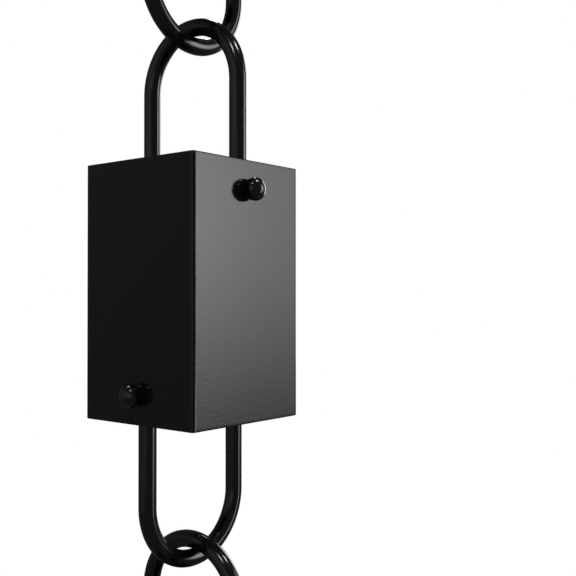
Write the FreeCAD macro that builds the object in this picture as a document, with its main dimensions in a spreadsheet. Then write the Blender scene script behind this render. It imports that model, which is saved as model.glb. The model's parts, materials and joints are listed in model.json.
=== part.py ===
"""Rain chain: square cups hung one below another on U-shaped links.

Every cup is a length of square tube, open at both ends.  A bent rod, the upper link, stands in its top with
a leg against each of two opposite walls, and a ball-headed pin goes through walls and legs.  The lower link
is the same rod turned upside down and a quarter round, on a pin of its own.  The crown of each upper link
rests in the bend of the lower link above it.

Frame, in millimetres: +Z is up, the origin is where a hook carries the topmost crown, the upper links lie in
the XZ plane and the lower links in the YZ plane.
"""

import FreeCAD, Part
import math
import os
import Sketcher

CUP_COUNT = 5

# Driving dimensions, each written once
SIZES = {
    "cup_side": "60",  # outside width of the square tube
    "cup_height": "101",
    "cup_wall": "2",
    "cup_corner": "1.2",  # outer radius of the tube's long corners
    "rim_round": "0.4",  # rounding of the tube's cut ends
    "rod_diameter": "6.9",
    "leg_clearance": "0.2",  # between a leg and the wall that it stands against
    "crown_reach": "56.5",  # from the cup's rim to the centre of the rod at the crown
    "leg_tail": "6",  # length of leg past the pin
    "leg_round": "0.8",  # rounding of the leg's end
    "pin_inset": "11.4",  # from the cup's rim to the pin's axis
    "pin_diameter": "3",
    "pin_chamfer": "0.4",  # at the pin's far end
    "hole_clearance": "0.08",  # all round the pin in walls, legs and cap
    "ball_diameter": "9",  # where the ball is widest
    "ball_bulge": "3.5",  # from the cup to the ball's widest place
    "ball_height": "7",  # from the cup to the ball's tip
    "ball_shoulder": "2.9",  # radius from the widest place over to the crown
    "ball_seat": "7.2",  # diameter of the flat that the ball rests on the cup with
    "cap_depth": "4",  # length of pin inside the cap
    "bore_spare": "0.4",  # depth of the cap's bore past the pin
    "seat_gap": "0.3",  # between two links where they cross
}

# Derived sizes, as formulas on the sheet
HALF_SIDE = "(Sizes.cup_side / 2)"
ROD_RADIUS = "(Sizes.rod_diameter / 2)"
LEG_OFFSET = f"({HALF_SIDE} - Sizes.cup_wall - Sizes.leg_clearance - {ROD_RADIUS})"
CROWN_CENTRE = f"(Sizes.pin_inset + Sizes.crown_reach - {LEG_OFFSET})"
PIN_RADIUS = "(Sizes.pin_diameter / 2)"
HOLE_RADIUS = f"({PIN_RADIUS} + Sizes.hole_clearance)"
PIN_END = f"({HALF_SIDE} + Sizes.cap_depth)"
BORE_END = f"({PIN_END} + Sizes.bore_spare)"
BALL_RADIUS = "(Sizes.ball_diameter / 2)"
BALL_WIDEST = f"({HALF_SIDE} + Sizes.ball_bulge)"
BALL_TIP = f"({HALF_SIDE} + Sizes.ball_height)"
SEAT_RADIUS = "(Sizes.ball_seat / 2)"
PITCH = "(Sizes.cup_height + 2 * Sizes.crown_reach - Sizes.rod_diameter - Sizes.seat_gap)"
FIRST_RIM = f"({ROD_RADIUS} - Sizes.crown_reach)"

# How the pieces are turned: a link's crown points up and a pin's head to +X before its turn
X_AXIS = FreeCAD.Vector(1, 0, 0)
Z_AXIS = FreeCAD.Vector(0, 0, 1)
AS_DRAWN = FreeCAD.Rotation()
HALF_TURN = FreeCAD.Rotation(Z_AXIS, 180)
QUARTER_TURN = FreeCAD.Rotation(Z_AXIS, -90)
THREE_QUARTER_TURN = QUARTER_TURN.multiply(HALF_TURN)
UPSIDE_DOWN = QUARTER_TURN.multiply(FreeCAD.Rotation(X_AXIS, 180))

# Sketcher's numbers for the origin and the two axes, and for the points of a line or an arc
ORIGIN = (-1, 1)
H_AXIS, V_AXIS = -1, -2
START, END, CENTRE = range(1, 4)


def make_sheet(doc):
    """The spreadsheet that holds the driving dimensions."""
    sheet = doc.addObject("Spreadsheet::Sheet", "Sizes")
    for row, (alias, value) in enumerate(SIZES.items(), start=1):
        sheet.set(f"A{row}", alias)
        sheet.set(f"B{row}", value)
        sheet.setAlias(f"B{row}", alias)
    doc.recompute()


def make_body(doc, label, rotation, height):
    """An empty body on the chain's axis, at a height given as a formula."""
    body = doc.addObject("PartDesign::Body", label)
    body.Label = label
    body.Placement = FreeCAD.Placement(FreeCAD.Vector(), rotation)
    body.setExpression("Placement.Base.z", height)
    return body


def make_sketch(body, name, plane):
    """A sketch on one of the body's own origin planes."""
    sketch = body.newObject("Sketcher::SketchObject", name)
    origin_plane = next(f for f in body.Origin.OriginFeatures if f.Role == plane)
    sketch.AttachmentSupport = (origin_plane, [""])
    sketch.MapMode = "FlatFace"
    return sketch


def values(sketch, *formulas):
    """What formulas on the sheet come to at the moment, to draw an outline with."""
    return [float(sketch.evalExpression(formula)) for formula in formulas]


def tie(sketch, kind, *where):
    """A constraint without a number, such as Coincident or Horizontal."""
    sketch.addConstraint(Sketcher.Constraint(kind, *where))


def dimension(sketch, kind, name, formula, *where):
    """A dimension of a drawn outline, which follows a formula on the sheet."""
    index = sketch.addConstraint(Sketcher.Constraint(kind, *where, *values(sketch, formula)))
    sketch.renameConstraint(index, name)
    sketch.setExpression(f"Constraints.{name}", formula)


def draw_lines(sketch, *points):
    """Lines from point to point, each tied to the one before; gives their numbers."""
    vectors = [FreeCAD.Vector(x, y, 0) for x, y in points]
    lines = [sketch.addGeometry(Part.LineSegment(a, b)) for a, b in zip(vectors, vectors[1:])]
    for line, following in zip(lines, lines[1:]):
        tie(sketch, "Coincident", line, END, following, START)
    return lines


def draw_square(sketch, name, formula):
    """A square about the sketch's origin."""
    half, = values(sketch, f"({formula}) / 2")
    corners = [(-half, -half), (half, -half), (half, half), (-half, half), (-half, -half)]
    bottom, right, top, left = draw_lines(sketch, *corners)
    tie(sketch, "Coincident", left, END, bottom, START)
    for line in (bottom, top):
        tie(sketch, "Horizontal", line)
    for line in (left, right):
        tie(sketch, "Vertical", line)
    tie(sketch, "Symmetric", bottom, START, top, START, *ORIGIN)
    dimension(sketch, "DistanceX", f"{name}_width", formula, bottom, START, bottom, END)
    dimension(sketch, "DistanceY", f"{name}_depth", formula, right, START, right, END)


def draw_circle(sketch, radius):
    """A circle of a given radius, still without a place; gives its number."""
    circle = sketch.addGeometry(Part.Circle(FreeCAD.Vector(), Z_AXIS, *values(sketch, radius)))
    dimension(sketch, "Radius", "radius", radius, circle)
    return circle


def draw_arc(sketch, x, y, radius, start, end):
    """A part of a circle from one angle on to another, counterclockwise; gives its number."""
    circle = Part.Circle(FreeCAD.Vector(x, y, 0), Z_AXIS, radius)
    return sketch.addGeometry(Part.ArcOfCircle(circle, start, end))


def edges_where(feature, wanted):
    """The names of the edges that pass a test."""
    return [f"Edge{n}" for n, edge in enumerate(feature.Shape.Edges, start=1) if wanted(edge)]


def round_edges(body, base, name, wanted, radius):
    """A fillet on the edges of a feature that pass a test."""
    fillet = body.newObject("PartDesign::Fillet", name)
    fillet.Base = (base, edges_where(base, wanted))
    fillet.setExpression("Radius", radius)
    return fillet


def drill_pin_hole(body, name, plane, height):
    """A hole for the pin, right through the body, square to the plane and on its vertical axis."""
    sketch = make_sketch(body, f"{name}_sketch", plane)
    circle = draw_circle(sketch, HOLE_RADIUS)
    tie(sketch, "PointOnObject", circle, CENTRE, V_AXIS)
    if height is None:
        tie(sketch, "PointOnObject", circle, CENTRE, H_AXIS)
    else:
        dimension(sketch, "DistanceY", "height", height, *ORIGIN, circle, CENTRE)
    hole = body.newObject("PartDesign::Pocket", name)
    hole.Profile = sketch
    hole.SideType = "Symmetric"
    hole.Type = "ThroughAll"
    return hole


def revolve(body, sketch):
    """The sketch turned all the way round its horizontal axis."""
    turned = body.newObject("PartDesign::Revolution", "Turned")
    turned.Profile = sketch
    turned.ReferenceAxis = (sketch, ["H_Axis"])
    turned.Angle = 360
    return turned


def is_upright(edge):
    box = edge.BoundBox
    return box.ZLength > max(box.XLength, box.YLength)


def build_cup(doc, label, height):
    """Square tube, standing on its lower rim, with rounded corners and ends and two crossed pin holes."""
    body = make_body(doc, label, AS_DRAWN, height)
    section = make_sketch(body, "Section", "XY_Plane")
    draw_square(section, "outside", "Sizes.cup_side")
    draw_square(section, "inside", "Sizes.cup_side - 2 * Sizes.cup_wall")
    tube = body.newObject("PartDesign::Pad", "Tube")
    tube.Profile = section
    tube.setExpression("Length", "Sizes.cup_height")
    doc.recompute()

    outside = tube.Shape.BoundBox

    def is_long_corner(edge):
        return is_upright(edge) and abs(edge.CenterOfMass.x) > outside.XMax - doc.Sizes.cup_wall / 2

    corners = round_edges(body, tube, "Corners", is_long_corner, "Sizes.cup_corner")
    doc.recompute()
    round_edges(body, corners, "Rims", lambda edge: not is_upright(edge), "Sizes.rim_round")
    drill_pin_hole(body, "UpperPinHole", "YZ_Plane", "Sizes.cup_height - Sizes.pin_inset")
    drill_pin_hole(body, "LowerPinHole", "XZ_Plane", "Sizes.pin_inset")
    return body


def build_link(doc, label, rotation, height):
    """Round rod swept along two legs and a half-circle crown, with its origin on the pin's axis."""
    body = make_body(doc, label, rotation, height)
    path = make_sketch(body, "Path", "XZ_Plane")
    offset, centre, tail = values(path, LEG_OFFSET, CROWN_CENTRE, "Sizes.leg_tail")
    left, = draw_lines(path, (-offset, -tail), (-offset, centre))
    crown = draw_arc(path, 0, centre, offset, 0, math.pi)
    right, = draw_lines(path, (offset, centre), (offset, -tail))
    tie(path, "Tangent", left, END, crown, END)
    tie(path, "Tangent", crown, START, right, START)
    tie(path, "Vertical", left)
    tie(path, "Vertical", right)
    tie(path, "PointOnObject", crown, CENTRE, V_AXIS)
    dimension(path, "DistanceX", "leg_offset", LEG_OFFSET, *ORIGIN, right, START)
    dimension(path, "DistanceY", "crown_centre", CROWN_CENTRE, *ORIGIN, crown, CENTRE)
    dimension(path, "DistanceY", "left_tail", "Sizes.leg_tail", left, START, *ORIGIN)
    dimension(path, "DistanceY", "right_tail", "Sizes.leg_tail", right, END, *ORIGIN)

    section = make_sketch(body, "Section", "XY_Plane")
    section.setExpression("AttachmentOffset.Base.z", "-Sizes.leg_tail")
    circle = draw_circle(section, ROD_RADIUS)
    tie(section, "PointOnObject", circle, CENTRE, H_AXIS)
    dimension(section, "DistanceX", "leg_offset", LEG_OFFSET, circle, CENTRE, *ORIGIN)

    rod = body.newObject("PartDesign::AdditivePipe", "Rod")
    rod.Profile = section
    rod.Spine = (path, ["Edge1", "Edge2", "Edge3"])
    doc.recompute()
    lowest = rod.Shape.BoundBox.ZMin

    def is_leg_end(edge):
        return edge.BoundBox.ZMax < lowest + doc.Sizes.leg_round

    round_edges(body, rod, "LegEnds", is_leg_end, "Sizes.leg_round")
    drill_pin_hole(body, "PinHole", "YZ_Plane", None)
    return body


def draw_ball(sketch):
    """The flattened ball, from its tip on the axis to its flat seat on the cup.

    A crown, a shoulder and a flank run smoothly into one another, and the ball is widest where the shoulder
    meets the flank.  Gives the crown's and the flank's numbers, the tip and the seat's rim.
    """
    tip, widest, radius = values(sketch, BALL_TIP, BALL_WIDEST, BALL_RADIUS)
    shoulder_radius, seat_place, seat_radius = values(sketch, "Sizes.ball_shoulder", HALF_SIDE, SEAT_RADIUS)
    rise, inset, drop = tip - widest, radius - shoulder_radius, radius - seat_radius
    crown_radius = (rise**2 + inset**2 - shoulder_radius**2) / (2 * (rise - shoulder_radius))
    flank_radius = ((widest - seat_place)**2 + drop**2) / (2 * drop)
    turn = math.atan2(inset, crown_radius - rise)
    seat_turn = math.atan2(flank_radius - drop, seat_place - widest)
    crown = draw_arc(sketch, tip - crown_radius, 0, crown_radius, 0, turn)
    shoulder = draw_arc(sketch, widest, inset, shoulder_radius, turn, math.pi / 2)
    flank = draw_arc(sketch, widest, radius - flank_radius, flank_radius, math.pi / 2, seat_turn)
    tie(sketch, "Tangent", crown, END, shoulder, START)
    tie(sketch, "Tangent", shoulder, END, flank, START)
    tie(sketch, "Vertical", shoulder, CENTRE, shoulder, END)
    tie(sketch, "PointOnObject", crown, CENTRE, H_AXIS)
    tie(sketch, "PointOnObject", crown, START, H_AXIS)
    dimension(sketch, "DistanceX", "tip_place", BALL_TIP, *ORIGIN, crown, START)
    dimension(sketch, "DistanceX", "widest_place", BALL_WIDEST, *ORIGIN, shoulder, END)
    dimension(sketch, "DistanceY", "ball_radius", BALL_RADIUS, *ORIGIN, shoulder, END)
    dimension(sketch, "Radius", "shoulder_radius", "Sizes.ball_shoulder", shoulder)
    dimension(sketch, "DistanceX", "seat_place", HALF_SIDE, *ORIGIN, flank, END)
    dimension(sketch, "DistanceY", "seat_radius", SEAT_RADIUS, *ORIGIN, flank, END)
    return crown, flank, (tip, 0), (seat_place, seat_radius)


def build_pin(doc, label, rotation, height):
    """Ball-headed pin turned about X, long enough to cross the cup and enter the cap."""
    body = make_body(doc, label, rotation, height)
    profile = make_sketch(body, "Profile", "XZ_Plane")
    crown, flank, tip, seat_rim = draw_ball(profile)
    length, radius, cut = values(profile, PIN_END, PIN_RADIUS, "Sizes.pin_chamfer")
    pin_end = [(-length, 0), (-length, radius - cut), (cut - length, radius)]
    axis, end, chamfer, shank, seat = draw_lines(profile, tip, *pin_end, (seat_rim[0], radius), seat_rim)
    tie(profile, "Coincident", crown, START, axis, START)
    tie(profile, "Coincident", seat, END, flank, END)
    tie(profile, "PointOnObject", axis, END, H_AXIS)
    tie(profile, "Vertical", end)
    tie(profile, "Horizontal", shank)
    tie(profile, "Vertical", seat)
    dimension(profile, "DistanceX", "pin_end", PIN_END, axis, END, *ORIGIN)
    dimension(profile, "DistanceY", "pin_radius", PIN_RADIUS, *ORIGIN, shank, END)
    dimension(profile, "DistanceX", "chamfer_length", "Sizes.pin_chamfer", chamfer, START, chamfer, END)
    dimension(profile, "DistanceY", "chamfer_depth", "Sizes.pin_chamfer", chamfer, START, chamfer, END)
    revolve(body, profile)
    return body


def build_cap(doc, label, rotation, height):
    """Ball cap like the pin's head, turned about X, with a blind bore for the pin's end."""
    body = make_body(doc, label, rotation, height)
    profile = make_sketch(body, "Profile", "XZ_Plane")
    crown, flank, tip, seat_rim = draw_ball(profile)
    depth, radius = values(profile, BORE_END, HOLE_RADIUS)
    bore_outline = [(depth, 0), (depth, radius), (seat_rim[0], radius)]
    axis, bore_end, bore, seat = draw_lines(profile, tip, *bore_outline, seat_rim)
    tie(profile, "Coincident", crown, START, axis, START)
    tie(profile, "Coincident", seat, END, flank, END)
    tie(profile, "PointOnObject", axis, END, H_AXIS)
    tie(profile, "Vertical", bore_end)
    tie(profile, "Horizontal", bore)
    tie(profile, "Vertical", seat)
    dimension(profile, "DistanceX", "bore_end", BORE_END, *ORIGIN, axis, END)
    dimension(profile, "DistanceY", "bore_radius", HOLE_RADIUS, *ORIGIN, bore, END)
    revolve(body, profile)
    return body


def build_unit(doc, number):
    """One cup with its two links, pins and caps."""
    rim = f"{FIRST_RIM} - {number - 1} * {PITCH}"
    upper_pin = f"{rim} - Sizes.pin_inset"
    foot = f"{rim} - Sizes.cup_height"
    lower_pin = f"{foot} + Sizes.pin_inset"
    return [
        build_link(doc, f"upper_link_{number}", AS_DRAWN, upper_pin),
        build_cup(doc, f"cup_{number}", foot),
        build_pin(doc, f"upper_pin_{number}", AS_DRAWN, upper_pin),
        build_cap(doc, f"upper_cap_{number}", HALF_TURN, upper_pin),
        build_link(doc, f"lower_link_{number}", UPSIDE_DOWN, lower_pin),
        build_pin(doc, f"lower_pin_{number}", QUARTER_TURN, lower_pin),
        build_cap(doc, f"lower_cap_{number}", THREE_QUARTER_TURN, lower_pin),
    ]


def check_document(doc, bodies):
    """Stops if a feature failed, a hole removed nothing or a piece isn't one sound solid."""
    for item in doc.Objects:
        if "Invalid" in item.State or "Error" in item.State:
            raise RuntimeError(f"{item.Name} in {item.Label} failed: {item.State}")
        if item.TypeId == "PartDesign::Pocket" and item.Shape.Volume >= item.BaseFeature.Shape.Volume:
            raise RuntimeError(f"{item.Name} removes nothing")
    for body in bodies:
        if body.Shape.isNull() or not body.Shape.isValid() or len(body.Shape.Solids) != 1:
            raise RuntimeError(f"{body.Label} isn't one sound solid")


def main():
    doc = FreeCAD.newDocument("RainChain")
    make_sheet(doc)
    bodies = [body for number in range(1, CUP_COUNT + 1) for body in build_unit(doc, number)]
    doc.recompute()
    check_document(doc, bodies)
    os.makedirs("parts", exist_ok=True)
    for body in bodies:
        body.Shape.exportStep(os.path.join("parts", f"{body.Label}.step"))


main()
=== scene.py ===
"""Looks of a rain chain: square cups, bent rod links and ball-headed pins in black coats.

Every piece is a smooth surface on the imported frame, and takes its place and main sizes from the CAD node
that it stands for.  The frame is in metres, with +Z up along the hanging chain.
"""

import json
import math
from typing import NamedTuple

import bmesh
import bpy
import numpy as np
from bpy.props import FloatProperty, FloatVectorProperty, PointerProperty
from mathutils import Euler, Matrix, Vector


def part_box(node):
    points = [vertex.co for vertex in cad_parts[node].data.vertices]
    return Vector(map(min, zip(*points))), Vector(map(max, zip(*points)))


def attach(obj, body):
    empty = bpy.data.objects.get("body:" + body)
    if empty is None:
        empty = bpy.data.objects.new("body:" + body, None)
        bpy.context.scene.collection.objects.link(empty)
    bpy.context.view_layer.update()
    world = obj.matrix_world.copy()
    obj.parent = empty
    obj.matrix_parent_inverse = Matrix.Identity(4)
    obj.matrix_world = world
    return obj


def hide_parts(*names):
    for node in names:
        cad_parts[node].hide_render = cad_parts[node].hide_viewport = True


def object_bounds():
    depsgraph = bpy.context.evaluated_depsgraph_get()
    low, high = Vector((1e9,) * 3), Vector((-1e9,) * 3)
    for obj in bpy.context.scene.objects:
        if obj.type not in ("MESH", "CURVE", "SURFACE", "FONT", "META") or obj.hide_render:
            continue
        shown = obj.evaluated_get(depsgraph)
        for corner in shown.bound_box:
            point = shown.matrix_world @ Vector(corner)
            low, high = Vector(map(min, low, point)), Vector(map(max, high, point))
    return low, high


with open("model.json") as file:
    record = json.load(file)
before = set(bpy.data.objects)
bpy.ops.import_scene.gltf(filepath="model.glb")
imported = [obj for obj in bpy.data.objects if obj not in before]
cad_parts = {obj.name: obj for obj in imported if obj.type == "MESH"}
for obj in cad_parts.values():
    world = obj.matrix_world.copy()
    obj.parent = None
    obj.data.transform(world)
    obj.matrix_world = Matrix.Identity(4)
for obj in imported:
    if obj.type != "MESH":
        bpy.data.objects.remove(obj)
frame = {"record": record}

bl_info = {
    "name": "Rain Chain",
    "version": (1, 0, 0),
    "blender": (4, 5, 0),
    "location": "3D View > Sidebar > Rain Chain",
    "description": "Builds a hanging chain of square cups on bent rod links",
    "category": "Object",
}

CAD_BOX = [list(corner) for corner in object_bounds()]
BODY_OF = {node: body for body, nodes in frame["record"]["behaviour"]["bodies"].items() for node in nodes}
CUP_COUNT = sum(node.startswith("cup_") for node in BODY_OF)
CUP_NUMBERS = range(1, CUP_COUNT + 1)

# Sizes that the frame gives, in metres
CUP_LOW, CUP_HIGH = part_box("cup_1")
LINK_LOW, LINK_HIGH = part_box("upper_link_1")
PIN_LOW, PIN_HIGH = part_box("upper_pin_1")
CUP_SIDE = CUP_HIGH.x - CUP_LOW.x
CUP_HEIGHT = CUP_HIGH.z - CUP_LOW.z
ROD_DIAMETER = LINK_HIGH.y - LINK_LOW.y
LEG_OFFSET = (LINK_HIGH.x - LINK_LOW.x - ROD_DIAMETER) / 2
BALL_DIAMETER = PIN_HIGH.y - PIN_LOW.y
BALL_TIP = PIN_HIGH.x
PIN_REACH = -PIN_LOW.x
PIN_HEIGHT = (PIN_LOW.z + PIN_HIGH.z) / 2
PIN_INSET = CUP_HIGH.z - PIN_HEIGHT
LEG_TAIL = PIN_HEIGHT - LINK_LOW.z
CROWN_TOP = LINK_HIGH.z - PIN_HEIGHT

# Grid steps
HOLE_STEPS = 8  # cells along each edge of the square block that holds a hole
HOLE_RINGS = 3  # of faces from that block's edge to the hole
HOLE_BLOCK = 1.4  # half width of that block, in radii of the hole
ARC_STEPS = 6  # of a small quarter round
LEG_ROWS = 0.4, 0.7  # extra rows up a leg, as shares of its length
CROWN_STEPS = 64
ROUND_STEPS = 64
BALL_STEPS = 12  # of each of a ball's three arcs
FLOOR_RINGS = 0.001, 0.5, 1  # as shares of the floor's radius
WELD = 1e-7  # points closer than this are one point
SHARP_ANGLE = math.radians(35)

# Coats
SATIN_IOR, GLOSS_IOR = 1.5, 1.7
SATIN_PEEL, GLOSS_PEEL = 600.0, 500.0  # bumps to a metre
SATIN_FLECKS, GLOSS_FLECKS = 2500.0, 3000.0  # flecks to a metre
GRAIN_SQUEEZE = 1.8  # how much finer the grain is along the chain than across it
GRAIN_DEPTH = 0.0002  # of the relief at full strength
FLECK_RELIEF = 0.25  # height of the flecks, as a share of the bumps
ROUGHNESS_SPREAD = 0.08  # share of the roughness that the flecks add or take away

# Surroundings; the lit backdrop's middle is given in degrees, as a lamp's place is
ROOM_GREY = 0.065
BACKDROP_BEARING, BACKDROP_ELEVATION = 149, 11
BACKDROP_EDGE = math.radians(20)  # from the backdrop's middle to where the room's grey starts
BACKDROP_FULL = math.radians(9)  # from the backdrop's middle to where full white ends
FLOOR_ROUGHNESS = 0.8
FLOOR_FADE = 0.1, 0.97  # where the floor's fade to white starts and ends, as shares of its radius
FLOOR_WHITE = 0.6  # share of white where that fade starts
CLIP_START = 0.01  # nearest distance that the camera shows

# Turns about the chain's axis and on to the other end, as matrices
AS_DRAWN = np.eye(3)
QUARTER_TURN = np.array([[0.0, 1.0, 0.0], [-1.0, 0.0, 0.0], [0.0, 0.0, 1.0]])
HALF_TURN = np.diag([-1.0, -1.0, 1.0])
ON_ITS_HEAD = np.diag([1.0, -1.0, -1.0])


def length(name, description, default):
    """A size in metres that a user may change."""
    return FloatProperty(
        name=name, description=description, default=default, min=0, precision=5, unit="LENGTH"
    )


def share(name, description, default):
    """A value from 0 to 1 that a user may change."""
    return FloatProperty(name=name, description=description, default=default, min=0, max=1, precision=4)


def colour(name, description, default):
    """A colour that a user may change."""
    return FloatVectorProperty(
        name=name, description=description, default=default, subtype="COLOR", size=3, min=0, max=1
    )


def angle(name, description, degrees):
    """An angle that a user may change, given in degrees and kept in radians."""
    return FloatProperty(name=name, description=description, default=math.radians(degrees), subtype="ANGLE")


class RainChainSizes(bpy.types.PropertyGroup):
    """Small sizes that the boxes of the nodes don't give."""

    cup_wall: length("Cup Wall", "Thickness of the cup's walls", 0.002)
    cup_corner: length("Cup Corner", "Outer radius of the cup's long corners", 0.0012)
    rim_round: length("Rim Rounding", "Rounding of the cup's cut ends", 0.0004)
    leg_round: length("Leg Rounding", "Rounding of the links' leg ends", 0.0008)
    pin_diameter: length("Pin Diameter", "Diameter of the pin's shank", 0.003)
    pin_chamfer: length("Pin Chamfer", "Chamfer at the pin's far end", 0.0004)
    hole_clearance: length("Hole Clearance", "Room all round the pin in its holes", 0.00008)
    ball_bulge: length("Ball Bulge", "From the cup to a ball's widest place", 0.0035)
    ball_shoulder: length("Ball Shoulder", "Radius from a ball's widest place over to its crown", 0.0029)
    ball_seat: length("Ball Seat", "Diameter of the flat that a ball rests on the cup with", 0.0072)
    bore_spare: length("Bore Spare", "Depth of a cap's bore past the pin", 0.0004)


class RainChainFinish(bpy.types.PropertyGroup):
    """Colours and gloss of the coats."""

    cup_colour: colour("Cup Colour", "Satin coat of the cups", (0.0065, 0.0065, 0.0068))
    cup_fleck: colour("Cup Fleck", "Lighter flecks in the satin coat", (0.010, 0.010, 0.0105))
    cup_roughness: share("Cup Roughness", "Roughness of the satin coat", 0.11)
    cup_grain: share("Cup Grain", "Strength of the satin coat's grain", 0.155)
    rod_colour: colour("Rod Colour", "Gloss coat of the links and pins", (0.0045, 0.0045, 0.0046))
    rod_fleck: colour("Rod Fleck", "Lighter flecks in the gloss coat", (0.007, 0.007, 0.0072))
    rod_roughness: share("Rod Roughness", "Roughness of the gloss coat", 0.16)
    rod_grain: share("Rod Grain", "Strength of the gloss coat's grain", 0.02)


class RainChainStage(bpy.types.PropertyGroup):
    """Camera and floor."""

    camera_turn: angle("Camera Turn", "How far the camera stands round from a view along Y", 38.694)
    camera_rise: angle("Camera Rise", "How far the camera looks up", 0.516)
    camera_distance: length("Camera Distance", "From the camera to the middle cup, along the view", 0.34622)
    camera_shift: length("Camera Shift", "How far the camera stands to the right of the middle cup", 0.03843)
    camera_drop: length("Camera Drop", "How far the camera stands below the middle cup's centre", 0.00154)
    lens: FloatProperty(name="Lens", description="Focal length in millimetres", default=53.45, unit="CAMERA")
    floor_gap: length("Floor Gap", "From the chain's lowest point down to the floor", 0.04)
    floor_radius: length("Floor Radius", "Radius of the floor", 1.15)
    floor_colour: colour("Floor Colour", "Pale floor", (0.86, 0.86, 0.86))


def punched_sheet(us, vs, holes=(), hole_rim=None):
    """A flat grid of parameter pairs (u, v) with blocks of its cells replaced by round holes.

    us and vs are the grid's lines.  A hole is the column and the row where its square block of cells starts.
    The block is filled with rings that run in straight lines from its edge to the hole's rim: (1 - s) times
    the edge point plus s times the rim point, for s from 0 to 1.  hole_rim gives the rim's offsets from the
    block's centre at an angle, and each edge point takes the rim point at its own angle.  Gives the parameter
    pairs and the four-sided faces.
    """
    pairs = [np.stack(np.meshgrid(us, vs, indexing="ij"), axis=-1).reshape(-1, 2)]
    index = np.arange(len(us) * len(vs)).reshape(len(us), len(vs))
    cells = np.stack([index[:-1, :-1], index[1:, :-1], index[1:, 1:], index[:-1, 1:]], axis=-1)
    kept = np.ones(cells.shape[:2], bool)
    faces = []
    count = index.size
    for column, row in holes:
        kept[column:column + HOLE_STEPS, row:row + HOLE_STEPS] = False
        block = index[column:column + HOLE_STEPS + 1, row:row + HOLE_STEPS + 1]
        edge = np.concatenate([block[:-1, 0], block[-1, :-1], block[:0:-1, -1], block[0, :0:-1]])
        low, high = pairs[0][block[0, 0]], pairs[0][block[-1, -1]]
        centre = (low + high) / 2
        offsets = pairs[0][edge] - centre
        rim = hole_rim(np.arctan2(*(offsets / (high - low)).T[::-1]))
        loop = edge
        for s in np.linspace(0, 1, HOLE_RINGS + 1)[1:]:
            pairs.append(centre + (1 - s) * offsets + s * rim)
            ring = count + np.arange(len(edge))
            faces.append(np.stack([loop, np.roll(loop, -1), np.roll(ring, -1), ring], axis=-1))
            loop = ring
            count += len(edge)
    faces.insert(0, cells[kept])
    return np.concatenate(pairs), np.concatenate(faces)


def rim_angles():
    """The angles at which the edge of a hole's square block is divided, in order round the hole."""
    steps = np.linspace(-1, 1, HOLE_STEPS + 1)[:-1]
    ones = np.ones(HOLE_STEPS)
    across = np.concatenate([steps, ones, -steps, -ones])
    up = np.concatenate([-ones, steps, ones, -steps])
    return np.arctan2(up, across)


def closed_ring(values):
    """The values with the first one repeated at the end."""
    return np.append(values, values[0])


def surface(us, vs, formula):
    """A grid surface: formula gives x, y and z as whole arrays of the two parameters."""
    pairs, faces = punched_sheet(us, vs)
    return np.stack(formula(*pairs.T), axis=-1), faces


def put_piece(node, patches, turn, height, material):
    """Joins patches of points and faces into one closed mesh for a node, turned and set at a height."""
    sizes = [len(points) for points, _ in patches]
    starts = np.cumsum([0] + sizes[:-1])
    points = np.concatenate([points for points, _ in patches]) @ turn.T + (0, 0, height)
    faces = np.concatenate([faces + start for (_, faces), start in zip(patches, starts)])
    mesh = bpy.data.meshes.new(f"{node}_coated")
    mesh.from_pydata(points, [], faces)
    work = bmesh.new()
    work.from_mesh(mesh)
    bmesh.ops.remove_doubles(work, verts=work.verts, dist=WELD)
    bmesh.ops.recalc_face_normals(work, faces=work.faces)
    open_edges = sum(not edge.is_manifold for edge in work.edges)
    if open_edges:
        raise RuntimeError(f"{node}: {open_edges} edges of the surface aren't closed")
    work.to_mesh(mesh)
    work.free()
    mesh.shade_smooth()
    mesh.set_sharp_from_angle(angle=SHARP_ANGLE)
    mesh.materials.append(material)
    piece = bpy.data.objects.new(f"{node}_coated", mesh)
    bpy.context.scene.collection.objects.link(piece)
    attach(piece, BODY_OF[node])
    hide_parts(node)


def pin_height(place, number):
    """Height of the axis of a cup's upper or lower pin."""
    low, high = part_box(f"{place}_pin_{number}")
    return (low.z + high.z) / 2


def block_lines(centre, half):
    """Evenly spaced grid lines over the square block round a hole."""
    return centre + np.linspace(-half, half, HOLE_STEPS + 1)


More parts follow.
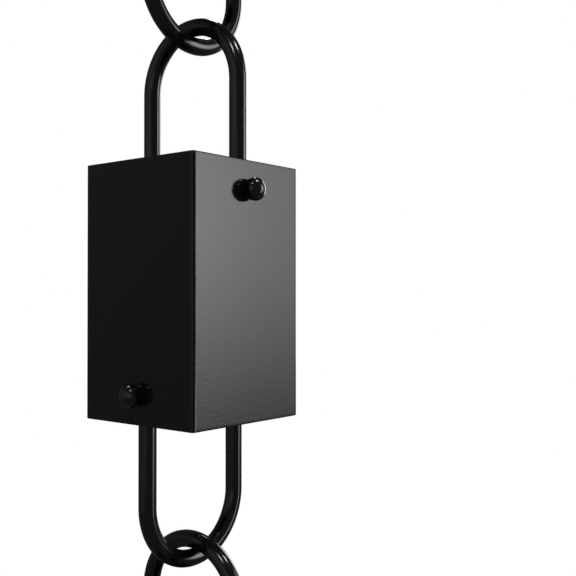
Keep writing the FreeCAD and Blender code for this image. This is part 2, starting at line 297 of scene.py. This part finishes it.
def cup_wall(sizes, hole_is_high):
    """Patches of one wall, on the +X side, with its hole, its long corner and its stretch of both rims.

    u runs along the wall and on round the corner, v is the height.  On the outside x is half the cup's side,
    and past the flat the point goes round a circle of the corner's radius; the inside is flat up to the
    corner.  Each rim goes from the outside to the inside over two quarter rounds: with a from 0 to a quarter
    turn, the face steps back by r (1 - cos a) and rises by r sin a.
    """
    half, corner, rounding = CUP_SIDE / 2, sizes.cup_corner, sizes.rim_round
    flat, inner = half - corner, half - sizes.cup_wall
    hole = sizes.pin_diameter / 2 + sizes.hole_clearance
    block = HOLE_BLOCK * hole
    support = 2 * rounding
    quarter = np.linspace(0, math.pi / 2, ARC_STEPS + 1)
    pin_rows = [*block_lines(PIN_INSET, block), *block_lines(CUP_HEIGHT - PIN_INSET, block)]
    ends = np.array([rounding, rounding + support])
    heights = np.concatenate([ends, pin_rows, CUP_HEIGHT - ends[::-1]])
    across = [support - flat, *block_lines(0, block), flat - support]
    outer_lines = np.concatenate([[-flat], across, flat + corner * quarter])
    inner_lines = np.concatenate([[-inner], across, np.full_like(quarter, inner)])
    pin_up = CUP_HEIGHT - PIN_INSET if hole_is_high else PIN_INSET
    hole_column = 2  # the wall's end and its support line come first
    hole_row = int(np.argmin(np.abs(heights - (pin_up - block))))

    def hole_rim(angles):
        return hole * np.stack([np.cos(angles), np.sin(angles)], axis=-1)

    def outside(u, back):
        bend = np.clip(u - flat, 0, None) / corner
        radius = corner - back
        along = np.clip(u, None, flat) + radius * np.sin(bend)
        return np.stack([flat + radius * np.cos(bend), along], axis=-1)

    def inside(u, back):
        along = np.where(np.abs(u) < inner, u, np.sign(u) * (inner + back))
        return np.stack([np.full_like(u, inner + back), along], axis=-1)

    def bore(angles, x):
        return x, hole * np.cos(angles), pin_up + hole * np.sin(angles)

    patches = [surface(closed_ring(rim_angles()), np.array([inner, half]), bore)]
    for plan, lines in ((outside, outer_lines), (inside, inner_lines[:-ARC_STEPS])):
        pairs, faces = punched_sheet(lines, heights, [(hole_column, hole_row)], hole_rim)
        patches.append((np.column_stack([plan(pairs[:, 0], 0), pairs[:, 1]]), faces))
    backs, rises = rounding * (1 - np.cos(quarter)), rounding * np.sin(quarter)
    outer_rows = [outside(outer_lines, back) for back in backs]
    inner_rows = [inside(inner_lines, back) for back in backs]
    rim_plan = np.stack(outer_rows + inner_rows[::-1])
    rim_rise = np.concatenate([rises, rises[::-1]])

    def rim(base, way):
        def place(row, column):
            at = row.astype(int), column.astype(int)
            return *rim_plan[at].T, base + way * rim_rise[at[0]]

        return surface(np.arange(len(rim_rise)), np.arange(len(outer_lines)), place)

    return patches + [rim(rounding, -1), rim(CUP_HEIGHT - rounding, 1)]


def turned(patches, turn):
    """The same patches, turned."""
    return [(points @ turn.T, faces) for points, faces in patches]


def cup_patches(sizes):
    """Four walls, a quarter turn apart: the upper pin's holes are in the X pair, the lower's in the Y."""
    patches = []
    for quarter in range(4):
        patches += turned(cup_wall(sizes, quarter % 2 == 0), np.linalg.matrix_power(QUARTER_TURN, quarter))
    return patches


def link_patches(sizes):
    """A round rod carried along a leg, a half-circle crown and the other leg, drilled for the pin.

    u is the angle round the rod and v the distance along its middle line.  The middle line goes up the left
    leg, round the crown by the angle b = (v - leg) / offset, held between 0 and half a turn, and down the
    right leg.  A point lies a radius away from the line, cos u of it outwards in the link's plane and sin u
    of it along Y.  At a leg's end the radius follows a quarter round.  The origin is on the pin's axis.
    """
    radius = ROD_DIAMETER / 2
    rounding = sizes.leg_round
    hole = sizes.pin_diameter / 2 + sizes.hole_clearance
    crown_centre = CROWN_TOP - radius - LEG_OFFSET
    leg = LEG_TAIL + crown_centre
    crown = math.pi * LEG_OFFSET
    whole = 2 * leg + crown
    block = HOLE_BLOCK * hole
    spread = math.asin(block / radius)

    def rod(u, v):
        bend = np.clip((v - leg) / LEG_OFFSET, 0, math.pi)
        out = np.stack([-np.cos(bend), np.zeros_like(v), np.sin(bend)])
        rise = np.minimum(v, leg) - LEG_TAIL - np.clip(v - leg - crown, 0, None)
        depth = np.clip(rounding - np.minimum(v, whole - v), 0, rounding)
        girth = radius - rounding + np.sqrt(rounding**2 - depth**2)
        x, _, z = LEG_OFFSET * out
        return x + girth * np.cos(u) * out[0], girth * np.sin(u), rise + z + girth * np.cos(u) * out[2]

    def hole_rim(angles):
        return np.stack([np.arcsin(hole / radius * np.cos(angles)), hole * np.sin(angles)], axis=-1)

    ends = rounding * (1 - np.cos(np.linspace(0, math.pi / 2, ARC_STEPS + 1)))
    leg_lines = np.concatenate([ends, block_lines(LEG_TAIL, block), leg * np.array(LEG_ROWS)])
    crown_lines = leg + np.linspace(0, crown, CROWN_STEPS + 1)
    vs = np.concatenate([leg_lines, crown_lines, (whole - leg_lines)[::-1]])
    outer_side = block_lines(0, spread)
    between = np.linspace(spread, math.pi - spread, ROUND_STEPS // 4)[1:-1]
    half_round = np.concatenate([outer_side, between])
    us = np.append(np.concatenate([half_round, half_round + math.pi]), 2 * math.pi - spread)
    columns = 0, len(half_round)
    rows = len(ends), len(vs) - len(ends) - HOLE_STEPS - 1
    pairs, faces = punched_sheet(us, vs, [(column, row) for column in columns for row in rows], hole_rim)
    patches = [(np.stack(rod(*pairs.T), axis=-1), faces)]

    def end_disc(side):
        def place(u, r):
            return side + r * np.cos(u), r * np.sin(u), np.full_like(u, -LEG_TAIL)

        return surface(us, np.array([0, radius - rounding]), place)

    def bore(side):
        def place(angles, s):
            y = hole * np.cos(angles)
            return side + s * np.sqrt(radius**2 - y**2), y, hole * np.sin(angles)

        return surface(closed_ring(rim_angles()), np.array([-1, 1]), place)

    return patches + [make(side) for make in (end_disc, bore) for side in (-LEG_OFFSET, LEG_OFFSET)]


def revolved(profile):
    """A profile of distance along X and radius, turned once about X: y is r cos u and z is r sin u."""
    along, radii = np.array(profile).T

    def ring(u, row):
        at = row.astype(int)
        return along[at], radii[at] * np.cos(u), radii[at] * np.sin(u)

    return surface(np.linspace(0, 2 * math.pi, ROUND_STEPS + 1), np.arange(len(profile)), ring)


def ball_profile(sizes):
    """The flattened ball from its tip to the edge of its flat seat on the cup, as three smooth arcs.

    On each arc x is c + R cos a and r is d + R sin a.  The crown's centre is on the axis, and the centres of
    the shoulder and of the flank stand under the widest place.  Two circles touch where the line through
    their centres meets them, which gives the crown's radius; the flank's radius follows from the seat.
    """
    radius, widest = BALL_DIAMETER / 2, CUP_SIDE / 2 + sizes.ball_bulge
    shoulder = sizes.ball_shoulder
    rise, inset, drop = BALL_TIP - widest, radius - shoulder, radius - sizes.ball_seat / 2
    crown = (rise**2 + inset**2 - shoulder**2) / (2 * (rise - shoulder))
    flank = (sizes.ball_bulge**2 + drop**2) / (2 * drop)
    turn = math.atan2(inset, crown - rise)
    seat_turn = math.atan2(flank - drop, -sizes.ball_bulge)
    arcs = (
        (BALL_TIP - crown, 0, crown, 0, turn),
        (widest, inset, shoulder, turn, math.pi / 2),
        (widest, radius - flank, flank, math.pi / 2, seat_turn),
    )
    profile = []
    for x, r, size, start, end in arcs:
        angles = np.linspace(start, end, BALL_STEPS + 1)[bool(profile):]
        profile += [(x + size * math.cos(a), r + size * math.sin(a)) for a in angles]
    return profile


def pin_patches(sizes):
    """Ball head on a shank that ends in a chamfer, turned about X."""
    radius, cut = sizes.pin_diameter / 2, sizes.pin_chamfer
    shank = [(CUP_SIDE / 2, radius), (cut - PIN_REACH, radius), (-PIN_REACH, radius - cut), (-PIN_REACH, 0)]
    return [revolved(ball_profile(sizes) + shank)]


def cap_patches(sizes):
    """The same ball with a blind bore for the pin's end, turned about X."""
    radius = sizes.pin_diameter / 2 + sizes.hole_clearance
    depth = PIN_REACH + sizes.bore_spare
    return [revolved(ball_profile(sizes) + [(CUP_SIDE / 2, radius), (depth, radius), (depth, 0)])]


def new_node(tree, kind, **values):
    """A shader node with some of its inputs set by name."""
    node = tree.nodes.new(kind)
    for name, value in values.items():
        node.inputs[name.replace("_", " ")].default_value = value
    return node


def coat_grain_group():
    """Grain of a sprayed coat: an orange peel of soft bumps with fine flecks on it."""
    group = bpy.data.node_groups.get("Coat Grain")
    if group:
        return group
    group = bpy.data.node_groups.new("Coat Grain", "ShaderNodeTree")
    group.interface.new_socket("Vector", in_out="INPUT", socket_type="NodeSocketVector")
    for name, default in (("Peel Scale", SATIN_PEEL), ("Fleck Scale", SATIN_FLECKS)):
        socket = group.interface.new_socket(name, in_out="INPUT", socket_type="NodeSocketFloat")
        socket.default_value = default
    group.interface.new_socket("Height", in_out="OUTPUT", socket_type="NodeSocketFloat")
    group.interface.new_socket("Fleck", in_out="OUTPUT", socket_type="NodeSocketFloat")
    link = group.links.new
    source = group.nodes.new("NodeGroupInput")
    result = group.nodes.new("NodeGroupOutput")
    peel = new_node(group, "ShaderNodeTexNoise", Detail=2.0, Roughness=0.45)
    fleck = new_node(group, "ShaderNodeTexNoise", Detail=1.0, Roughness=0.5)
    height = group.nodes.new("ShaderNodeMath")
    height.operation = "MULTIPLY_ADD"
    height.inputs[1].default_value = FLECK_RELIEF
    link(source.outputs["Vector"], peel.inputs["Vector"])
    link(source.outputs["Vector"], fleck.inputs["Vector"])
    link(source.outputs["Peel Scale"], peel.inputs["Scale"])
    link(source.outputs["Fleck Scale"], fleck.inputs["Scale"])
    link(fleck.outputs["Fac"], height.inputs[0])
    link(peel.outputs["Fac"], height.inputs[2])
    link(height.outputs["Value"], result.inputs["Height"])
    link(fleck.outputs["Fac"], result.inputs["Fleck"])
    return group


def coat_material(name, base, fleck, roughness, grain, ior, peel_scale, fleck_scale):
    """A black sprayed coat: tone and roughness vary a little with the flecks, over a grain in low relief."""
    material = bpy.data.materials.new(name)
    material.use_nodes = True
    tree = material.node_tree
    link = tree.links.new
    shader = tree.nodes["Principled BSDF"]
    shader.inputs["IOR"].default_value = ior
    place = tree.nodes.new("ShaderNodeTexCoord")
    squeezed = new_node(tree, "ShaderNodeMapping", Scale=(1, 1, GRAIN_SQUEEZE))
    texture = tree.nodes.new("ShaderNodeGroup")
    texture.node_tree = coat_grain_group()
    texture.inputs["Peel Scale"].default_value = peel_scale
    texture.inputs["Fleck Scale"].default_value = fleck_scale
    tone = tree.nodes.new("ShaderNodeMix")
    tone.data_type = "RGBA"
    tone.inputs["A"].default_value = (*base, 1)
    tone.inputs["B"].default_value = (*fleck, 1)
    low, high = roughness * (1 - ROUGHNESS_SPREAD), roughness * (1 + ROUGHNESS_SPREAD)
    spread = new_node(tree, "ShaderNodeMapRange", To_Min=low, To_Max=high)
    relief = new_node(tree, "ShaderNodeBump", Strength=grain, Distance=GRAIN_DEPTH)
    link(place.outputs["Object"], squeezed.inputs["Vector"])
    link(squeezed.outputs["Vector"], texture.inputs["Vector"])
    link(texture.outputs["Fleck"], tone.inputs["Factor"])
    link(tone.outputs["Result"], shader.inputs["Base Color"])
    link(texture.outputs["Fleck"], spread.inputs["Value"])
    link(spread.outputs["Result"], shader.inputs["Roughness"])
    link(texture.outputs["Height"], relief.inputs["Height"])
    link(relief.outputs["Normal"], shader.inputs["Normal"])
    return material


def cup_coat(finish):
    """Satin powder coat of the cups."""
    looks = finish.cup_colour, finish.cup_fleck, finish.cup_roughness, finish.cup_grain
    return coat_material("satin_cup_coat", *looks, SATIN_IOR, SATIN_PEEL, SATIN_FLECKS)


def rod_coat(name, finish):
    """Smoother gloss coat of the links and the pins."""
    looks = finish.rod_colour, finish.rod_fleck, finish.rod_roughness, finish.rod_grain
    return coat_material(name, *looks, GLOSS_IOR, GLOSS_PEEL, GLOSS_FLECKS)


class Fade(NamedTuple):
    """A stretch across or up a lamp along which its brightness goes from one value to another."""

    axis: str  # X across or Y up
    start: float  # share of the lamp's width or height
    end: float
    from_value: float
    to_value: float


class Lamp(NamedTuple):
    """A studio lamp that looks at the middle cup."""

    bearing: float  # degrees to the right of the way to the camera, seen from the cup
    elevation: float  # degrees up
    distance: float  # metres from the cup
    width: float
    height: float
    radiance: float  # watts per square metre and steradian
    fades: tuple = ()
    is_round: bool = False


def spot(bearing, elevation, radiance):
    """One of the small round lamps that stand high round the chain."""
    return Lamp(bearing, elevation, distance=1.6, width=0.28, height=0.28, radiance=radiance, is_round=True)


LAMPS = {
    "key_softbox": Lamp(
        bearing=100, elevation=8, distance=1.2, width=0.71, height=1.28, radiance=4.53,
        fades=(
            Fade("X", 0.08, 0.24, 0.0, 1.0),
            Fade("X", 0.2, 0.62, 1.0, 0.5),
            Fade("X", 0.62, 0.9, 1.0, 0.0),
            Fade("Y", 0.012, 0.5, 0.0, 1.0),
            Fade("Y", 0.5, 1.0, 1.0, 0.0),
        ),
    ),
    "fill_panel": Lamp(
        bearing=-63.5, elevation=5, distance=1.6, width=3.6, height=1.6, radiance=0.145,
        fades=(
            Fade("X", 0.36, 0.46, 0.3, 1.0),
            Fade("Y", 0.2, 0.6, 0.5, 1.2),
        ),
    ),
    "rim_panel": Lamp(
        BACKDROP_BEARING, BACKDROP_ELEVATION, distance=1.5, width=0.42, height=0.9, radiance=3.6,
    ),
    "low_strip": Lamp(
        bearing=86.5, elevation=-13, distance=1.2, width=0.17, height=0.25, radiance=2.5,
    ),
    "front_glow": Lamp(
        bearing=-12, elevation=0, distance=1.6, width=1.5, height=0.74, radiance=0.19,
        fades=(
            Fade("X", 0.0, 0.3, 0.0, 1.0),
            Fade("X", 0.7, 1.0, 1.0, 0.0),
            Fade("Y", 0.0, 0.4, 0.3, 1.0),
            Fade("Y", 0.6, 1.0, 1.0, 0.3),
        ),
    ),
    "back_lamp": spot(bearing=182, elevation=50, radiance=18),
    "top_lamp": spot(bearing=78, elevation=59, radiance=18),
    "front_lamp": spot(bearing=-12, elevation=50, radiance=12),
    "side_lamp": spot(bearing=-112, elevation=66, radiance=13),
}


def studio_direction(stage, bearing, elevation):
    """A direction from the chain, in degrees to the right of the way to the camera and in degrees up."""
    turn = stage.camera_turn + math.radians(bearing)
    rise = math.radians(elevation)
    return Vector((math.sin(turn) * math.cos(rise), -math.cos(turn) * math.cos(rise), math.sin(rise)))


def hang_lamp(name, lamp, stage, centre):
    """A lamp that looks at the centre; its power is its area times pi times its radiance."""
    light = bpy.data.lights.new(name, "AREA")
    light.shape = "ELLIPSE" if lamp.is_round else "RECTANGLE"
    light.size, light.size_y = lamp.width, lamp.height
    area = lamp.width * lamp.height * (math.pi / 4 if lamp.is_round else 1)
    light.energy = lamp.radiance * area * math.pi
    if lamp.fades:
        fade_lamp(light, lamp.fades)
    direction = studio_direction(stage, lamp.bearing, lamp.elevation)
    hung = bpy.data.objects.new(name, light)
    hung.location = centre + direction * lamp.distance
    hung.rotation_euler = direction.to_track_quat("Z", "Y").to_euler()
    hung.visible_camera = False
    bpy.context.scene.collection.objects.link(hung)


def fade_lamp(light, fades):
    """Multiplies a lamp's light by its fades, each of which follows a smooth step over its stretch."""
    light.use_nodes = True
    tree = light.node_tree
    link = tree.links.new
    place = tree.nodes.new("ShaderNodeSeparateXYZ")
    link(tree.nodes.new("ShaderNodeNewGeometry").outputs["Parametric"], place.inputs["Vector"])
    strength = None
    for fade in fades:
        step = new_node(
            tree, "ShaderNodeMapRange",
            From_Min=fade.start, From_Max=fade.end, To_Min=fade.from_value, To_Max=fade.to_value,
        )
        step.interpolation_type = "SMOOTHSTEP"
        link(place.outputs[fade.axis], step.inputs["Value"])
        if strength is None:
            strength = step.outputs["Result"]
        else:
            product = tree.nodes.new("ShaderNodeMath")
            product.operation = "MULTIPLY"
            link(strength, product.inputs[0])
            link(step.outputs["Result"], product.inputs[1])
            strength = product.outputs["Value"]
    link(strength, tree.nodes["Emission"].inputs["Strength"])


def white_surroundings(stage):
    """A world that the camera sees as plain white, and that lights the chain only faintly.

    The coats mirror the white too, but only where the lit backdrop stands, behind the chain and to the right
    of it: the share of white follows the cosine of the angle between the ray and the backdrop's middle.
    """
    world = bpy.data.worlds.new("Studio")
    world.use_nodes = True
    bpy.context.scene.world = world
    tree = world.node_tree
    link = tree.links.new
    room = tree.nodes["Background"]
    room.inputs["Color"].default_value = (ROOM_GREY, ROOM_GREY, ROOM_GREY, 1)
    white = new_node(tree, "ShaderNodeBackground", Color=(1, 1, 1, 1))
    place = tree.nodes.new("ShaderNodeTexCoord")
    facing = tree.nodes.new("ShaderNodeVectorMath")
    facing.operation = "DOT_PRODUCT"
    facing.inputs[1].default_value = studio_direction(stage, BACKDROP_BEARING, BACKDROP_ELEVATION)
    edge, full = math.cos(BACKDROP_EDGE), math.cos(BACKDROP_FULL)
    backdrop = new_node(tree, "ShaderNodeMapRange", From_Min=edge, From_Max=full)
    backdrop.interpolation_type = "SMOOTHSTEP"
    rays = tree.nodes.new("ShaderNodeLightPath")
    mirrored, lit, shown = (tree.nodes.new("ShaderNodeMath") for _ in range(3))
    mirrored.operation, lit.operation, shown.operation = "MAXIMUM", "MULTIPLY", "MAXIMUM"
    mix = tree.nodes.new("ShaderNodeMixShader")
    link(place.outputs["Generated"], facing.inputs[0])
    link(facing.outputs["Value"], backdrop.inputs["Value"])
    link(rays.outputs["Is Glossy Ray"], mirrored.inputs[0])
    link(rays.outputs["Is Transmission Ray"], mirrored.inputs[1])
    link(mirrored.outputs["Value"], lit.inputs[0])
    link(backdrop.outputs["Result"], lit.inputs[1])
    link(rays.outputs["Is Camera Ray"], shown.inputs[0])
    link(lit.outputs["Value"], shown.inputs[1])
    link(shown.outputs["Value"], mix.inputs["Fac"])
    link(room.outputs["Background"], mix.inputs[1])
    link(white.outputs["Background"], mix.inputs[2])
    link(mix.outputs["Shader"], tree.nodes["World Output"].inputs["Surface"])


def floor_material(stage):
    """A pale matt floor that fades to the white surroundings towards its edge, for the camera alone."""
    material = bpy.data.materials.new("studio_floor")
    material.use_nodes = True
    tree = material.node_tree
    link = tree.links.new
    shader = tree.nodes["Principled BSDF"]
    shader.inputs["Base Color"].default_value = (*stage.floor_colour, 1)
    shader.inputs["Roughness"].default_value = FLOOR_ROUGHNESS
    place = tree.nodes.new("ShaderNodeTexCoord")
    flat = new_node(tree, "ShaderNodeMapping", Scale=(1, 1, 0))
    reach = tree.nodes.new("ShaderNodeVectorMath")
    reach.operation = "LENGTH"
    start, end = (part * stage.floor_radius for part in FLOOR_FADE)
    fade = new_node(tree, "ShaderNodeMapRange", From_Min=start, From_Max=end, To_Min=FLOOR_WHITE)
    fade.interpolation_type = "SMOOTHSTEP"
    rays = tree.nodes.new("ShaderNodeLightPath")
    seen = tree.nodes.new("ShaderNodeMath")
    seen.operation = "MULTIPLY"
    white = new_node(tree, "ShaderNodeEmission", Color=(1, 1, 1, 1))
    mix = tree.nodes.new("ShaderNodeMixShader")
    link(place.outputs["Object"], flat.inputs["Vector"])
    link(flat.outputs["Vector"], reach.inputs[0])
    link(reach.outputs["Value"], fade.inputs["Value"])
    link(fade.outputs["Result"], seen.inputs[0])
    link(rays.outputs["Is Camera Ray"], seen.inputs[1])
    link(seen.outputs["Value"], mix.inputs["Fac"])
    link(shader.outputs["BSDF"], mix.inputs[1])
    link(white.outputs["Emission"], mix.inputs[2])
    link(mix.outputs["Shader"], tree.nodes["Material Output"].inputs["Surface"])
    return material


def lay_floor(scene, stage):
    """A round floor below the chain: x is r cos u and y is r sin u.  The coats don't mirror it."""
    height = CAD_BOX[0][2] - stage.floor_gap

    def disc(u, r):
        return r * np.cos(u), r * np.sin(u), np.full_like(u, height)

    turn = np.linspace(0, 2 * math.pi, ROUND_STEPS * 2 + 1)
    points, faces = surface(turn, stage.floor_radius * np.array(FLOOR_RINGS), disc)
    mesh = bpy.data.meshes.new("floor")
    mesh.from_pydata(points, [], faces)
    mesh.materials.append(floor_material(stage))
    floor = bpy.data.objects.new("floor", mesh)
    floor.visible_glossy = False
    scene.collection.objects.link(floor)


def place_camera(scene, stage, centre):
    """A camera that stands by the middle cup's centre and looks along the view, a little up."""
    camera = bpy.data.cameras.new("Camera")
    camera.lens = stage.lens
    camera.clip_start = CLIP_START
    view = bpy.data.objects.new("Camera", camera)
    view.rotation_euler = Euler((math.pi / 2 + stage.camera_rise, 0, stage.camera_turn))
    offset = Vector((stage.camera_shift, -stage.camera_distance, -stage.camera_drop))
    offset.rotate(Euler((0, 0, stage.camera_turn)))
    view.location = centre + offset
    scene.collection.objects.link(view)
    scene.camera = view


class RAINCHAIN_OT_cups(bpy.types.Operator):
    """Builds the square cups in their satin coat"""

    bl_idname = "rainchain.cups"
    bl_label = "Build Cups"

    def execute(self, context):
        scene = context.scene
        patches = cup_patches(scene.rain_chain_sizes)
        coat = cup_coat(scene.rain_chain_finish)
        for number in CUP_NUMBERS:
            node = f"cup_{number}"
            put_piece(node, patches, AS_DRAWN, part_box(node)[0].z, coat)
        return {"FINISHED"}


class RAINCHAIN_OT_links(bpy.types.Operator):
    """Builds the upper and lower links in their gloss coat"""

    bl_idname = "rainchain.links"
    bl_label = "Build Links"

    def execute(self, context):
        scene = context.scene
        patches = link_patches(scene.rain_chain_sizes)
        coat = rod_coat("gloss_link_coat", scene.rain_chain_finish)
        crown_down = QUARTER_TURN @ ON_ITS_HEAD
        for number in CUP_NUMBERS:
            put_piece(f"upper_link_{number}", patches, AS_DRAWN, pin_height("upper", number), coat)
            put_piece(f"lower_link_{number}", patches, crown_down, pin_height("lower", number), coat)
        return {"FINISHED"}


class RAINCHAIN_OT_pins(bpy.types.Operator):
    """Builds the ball-headed pins and their caps in their gloss coat"""

    bl_idname = "rainchain.pins"
    bl_label = "Build Pins"

    def execute(self, context):
        scene = context.scene
        sizes = scene.rain_chain_sizes
        pin, cap = pin_patches(sizes), cap_patches(sizes)
        coat = rod_coat("gloss_fastener_coat", scene.rain_chain_finish)
        for place, turn in (("upper", AS_DRAWN), ("lower", QUARTER_TURN)):
            for number in CUP_NUMBERS:
                height = pin_height(place, number)
                put_piece(f"{place}_pin_{number}", pin, turn, height, coat)
                put_piece(f"{place}_cap_{number}", cap, turn @ HALF_TURN, height, coat)
        return {"FINISHED"}


class RAINCHAIN_OT_stage(bpy.types.Operator):
    """Sets up the camera, the pale floor and the studio light"""

    bl_idname = "rainchain.stage"
    bl_label = "Set Up Stage"

    def execute(self, context):
        scene = context.scene
        stage = scene.rain_chain_stage
        scene.view_settings.view_transform = "Standard"
        low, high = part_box(f"cup_{(CUP_COUNT + 1) // 2}")
        centre = (low + high) / 2
        place_camera(scene, stage, centre)
        lay_floor(scene, stage)
        white_surroundings(stage)
        for name, lamp in LAMPS.items():
            hang_lamp(name, lamp, stage, centre)
        return {"FINISHED"}


class RAINCHAIN_PT_panel(bpy.types.Panel):
    """Sidebar panel with the pieces, the stage and their settings"""

    bl_idname = "RAINCHAIN_PT_panel"
    bl_label = "Rain Chain"
    bl_space_type = "VIEW_3D"
    bl_region_type = "UI"
    bl_category = "Rain Chain"

    def draw(self, context):
        layout = self.layout
        for operator in OPERATORS:
            layout.operator(operator.bl_idname)
        for name, (title, group) in GROUPS.items():
            box = layout.box()
            box.label(text=title)
            for setting in group.__annotations__:
                box.prop(getattr(context.scene, name), setting)


GROUPS = {
    "rain_chain_sizes": ("Sizes", RainChainSizes),
    "rain_chain_finish": ("Finish", RainChainFinish),
    "rain_chain_stage": ("Stage", RainChainStage),
}
OPERATORS = (RAINCHAIN_OT_cups, RAINCHAIN_OT_links, RAINCHAIN_OT_pins, RAINCHAIN_OT_stage)


def register():
    for name, (_, group) in GROUPS.items():
        bpy.utils.register_class(group)
        setattr(bpy.types.Scene, name, PointerProperty(type=group))
    for operator in OPERATORS:
        bpy.utils.register_class(operator)
    bpy.utils.register_class(RAINCHAIN_PT_panel)


def unregister():
    bpy.utils.unregister_class(RAINCHAIN_PT_panel)
    for operator in reversed(OPERATORS):
        bpy.utils.unregister_class(operator)
    for name, (_, group) in reversed(GROUPS.items()):
        delattr(bpy.types.Scene, name)
        bpy.utils.unregister_class(group)


def main():
    register()
    bpy.ops.rainchain.cups()
    bpy.ops.rainchain.links()
    bpy.ops.rainchain.pins()
    bpy.ops.rainchain.stage()


if __name__ == "__main__":
    main()
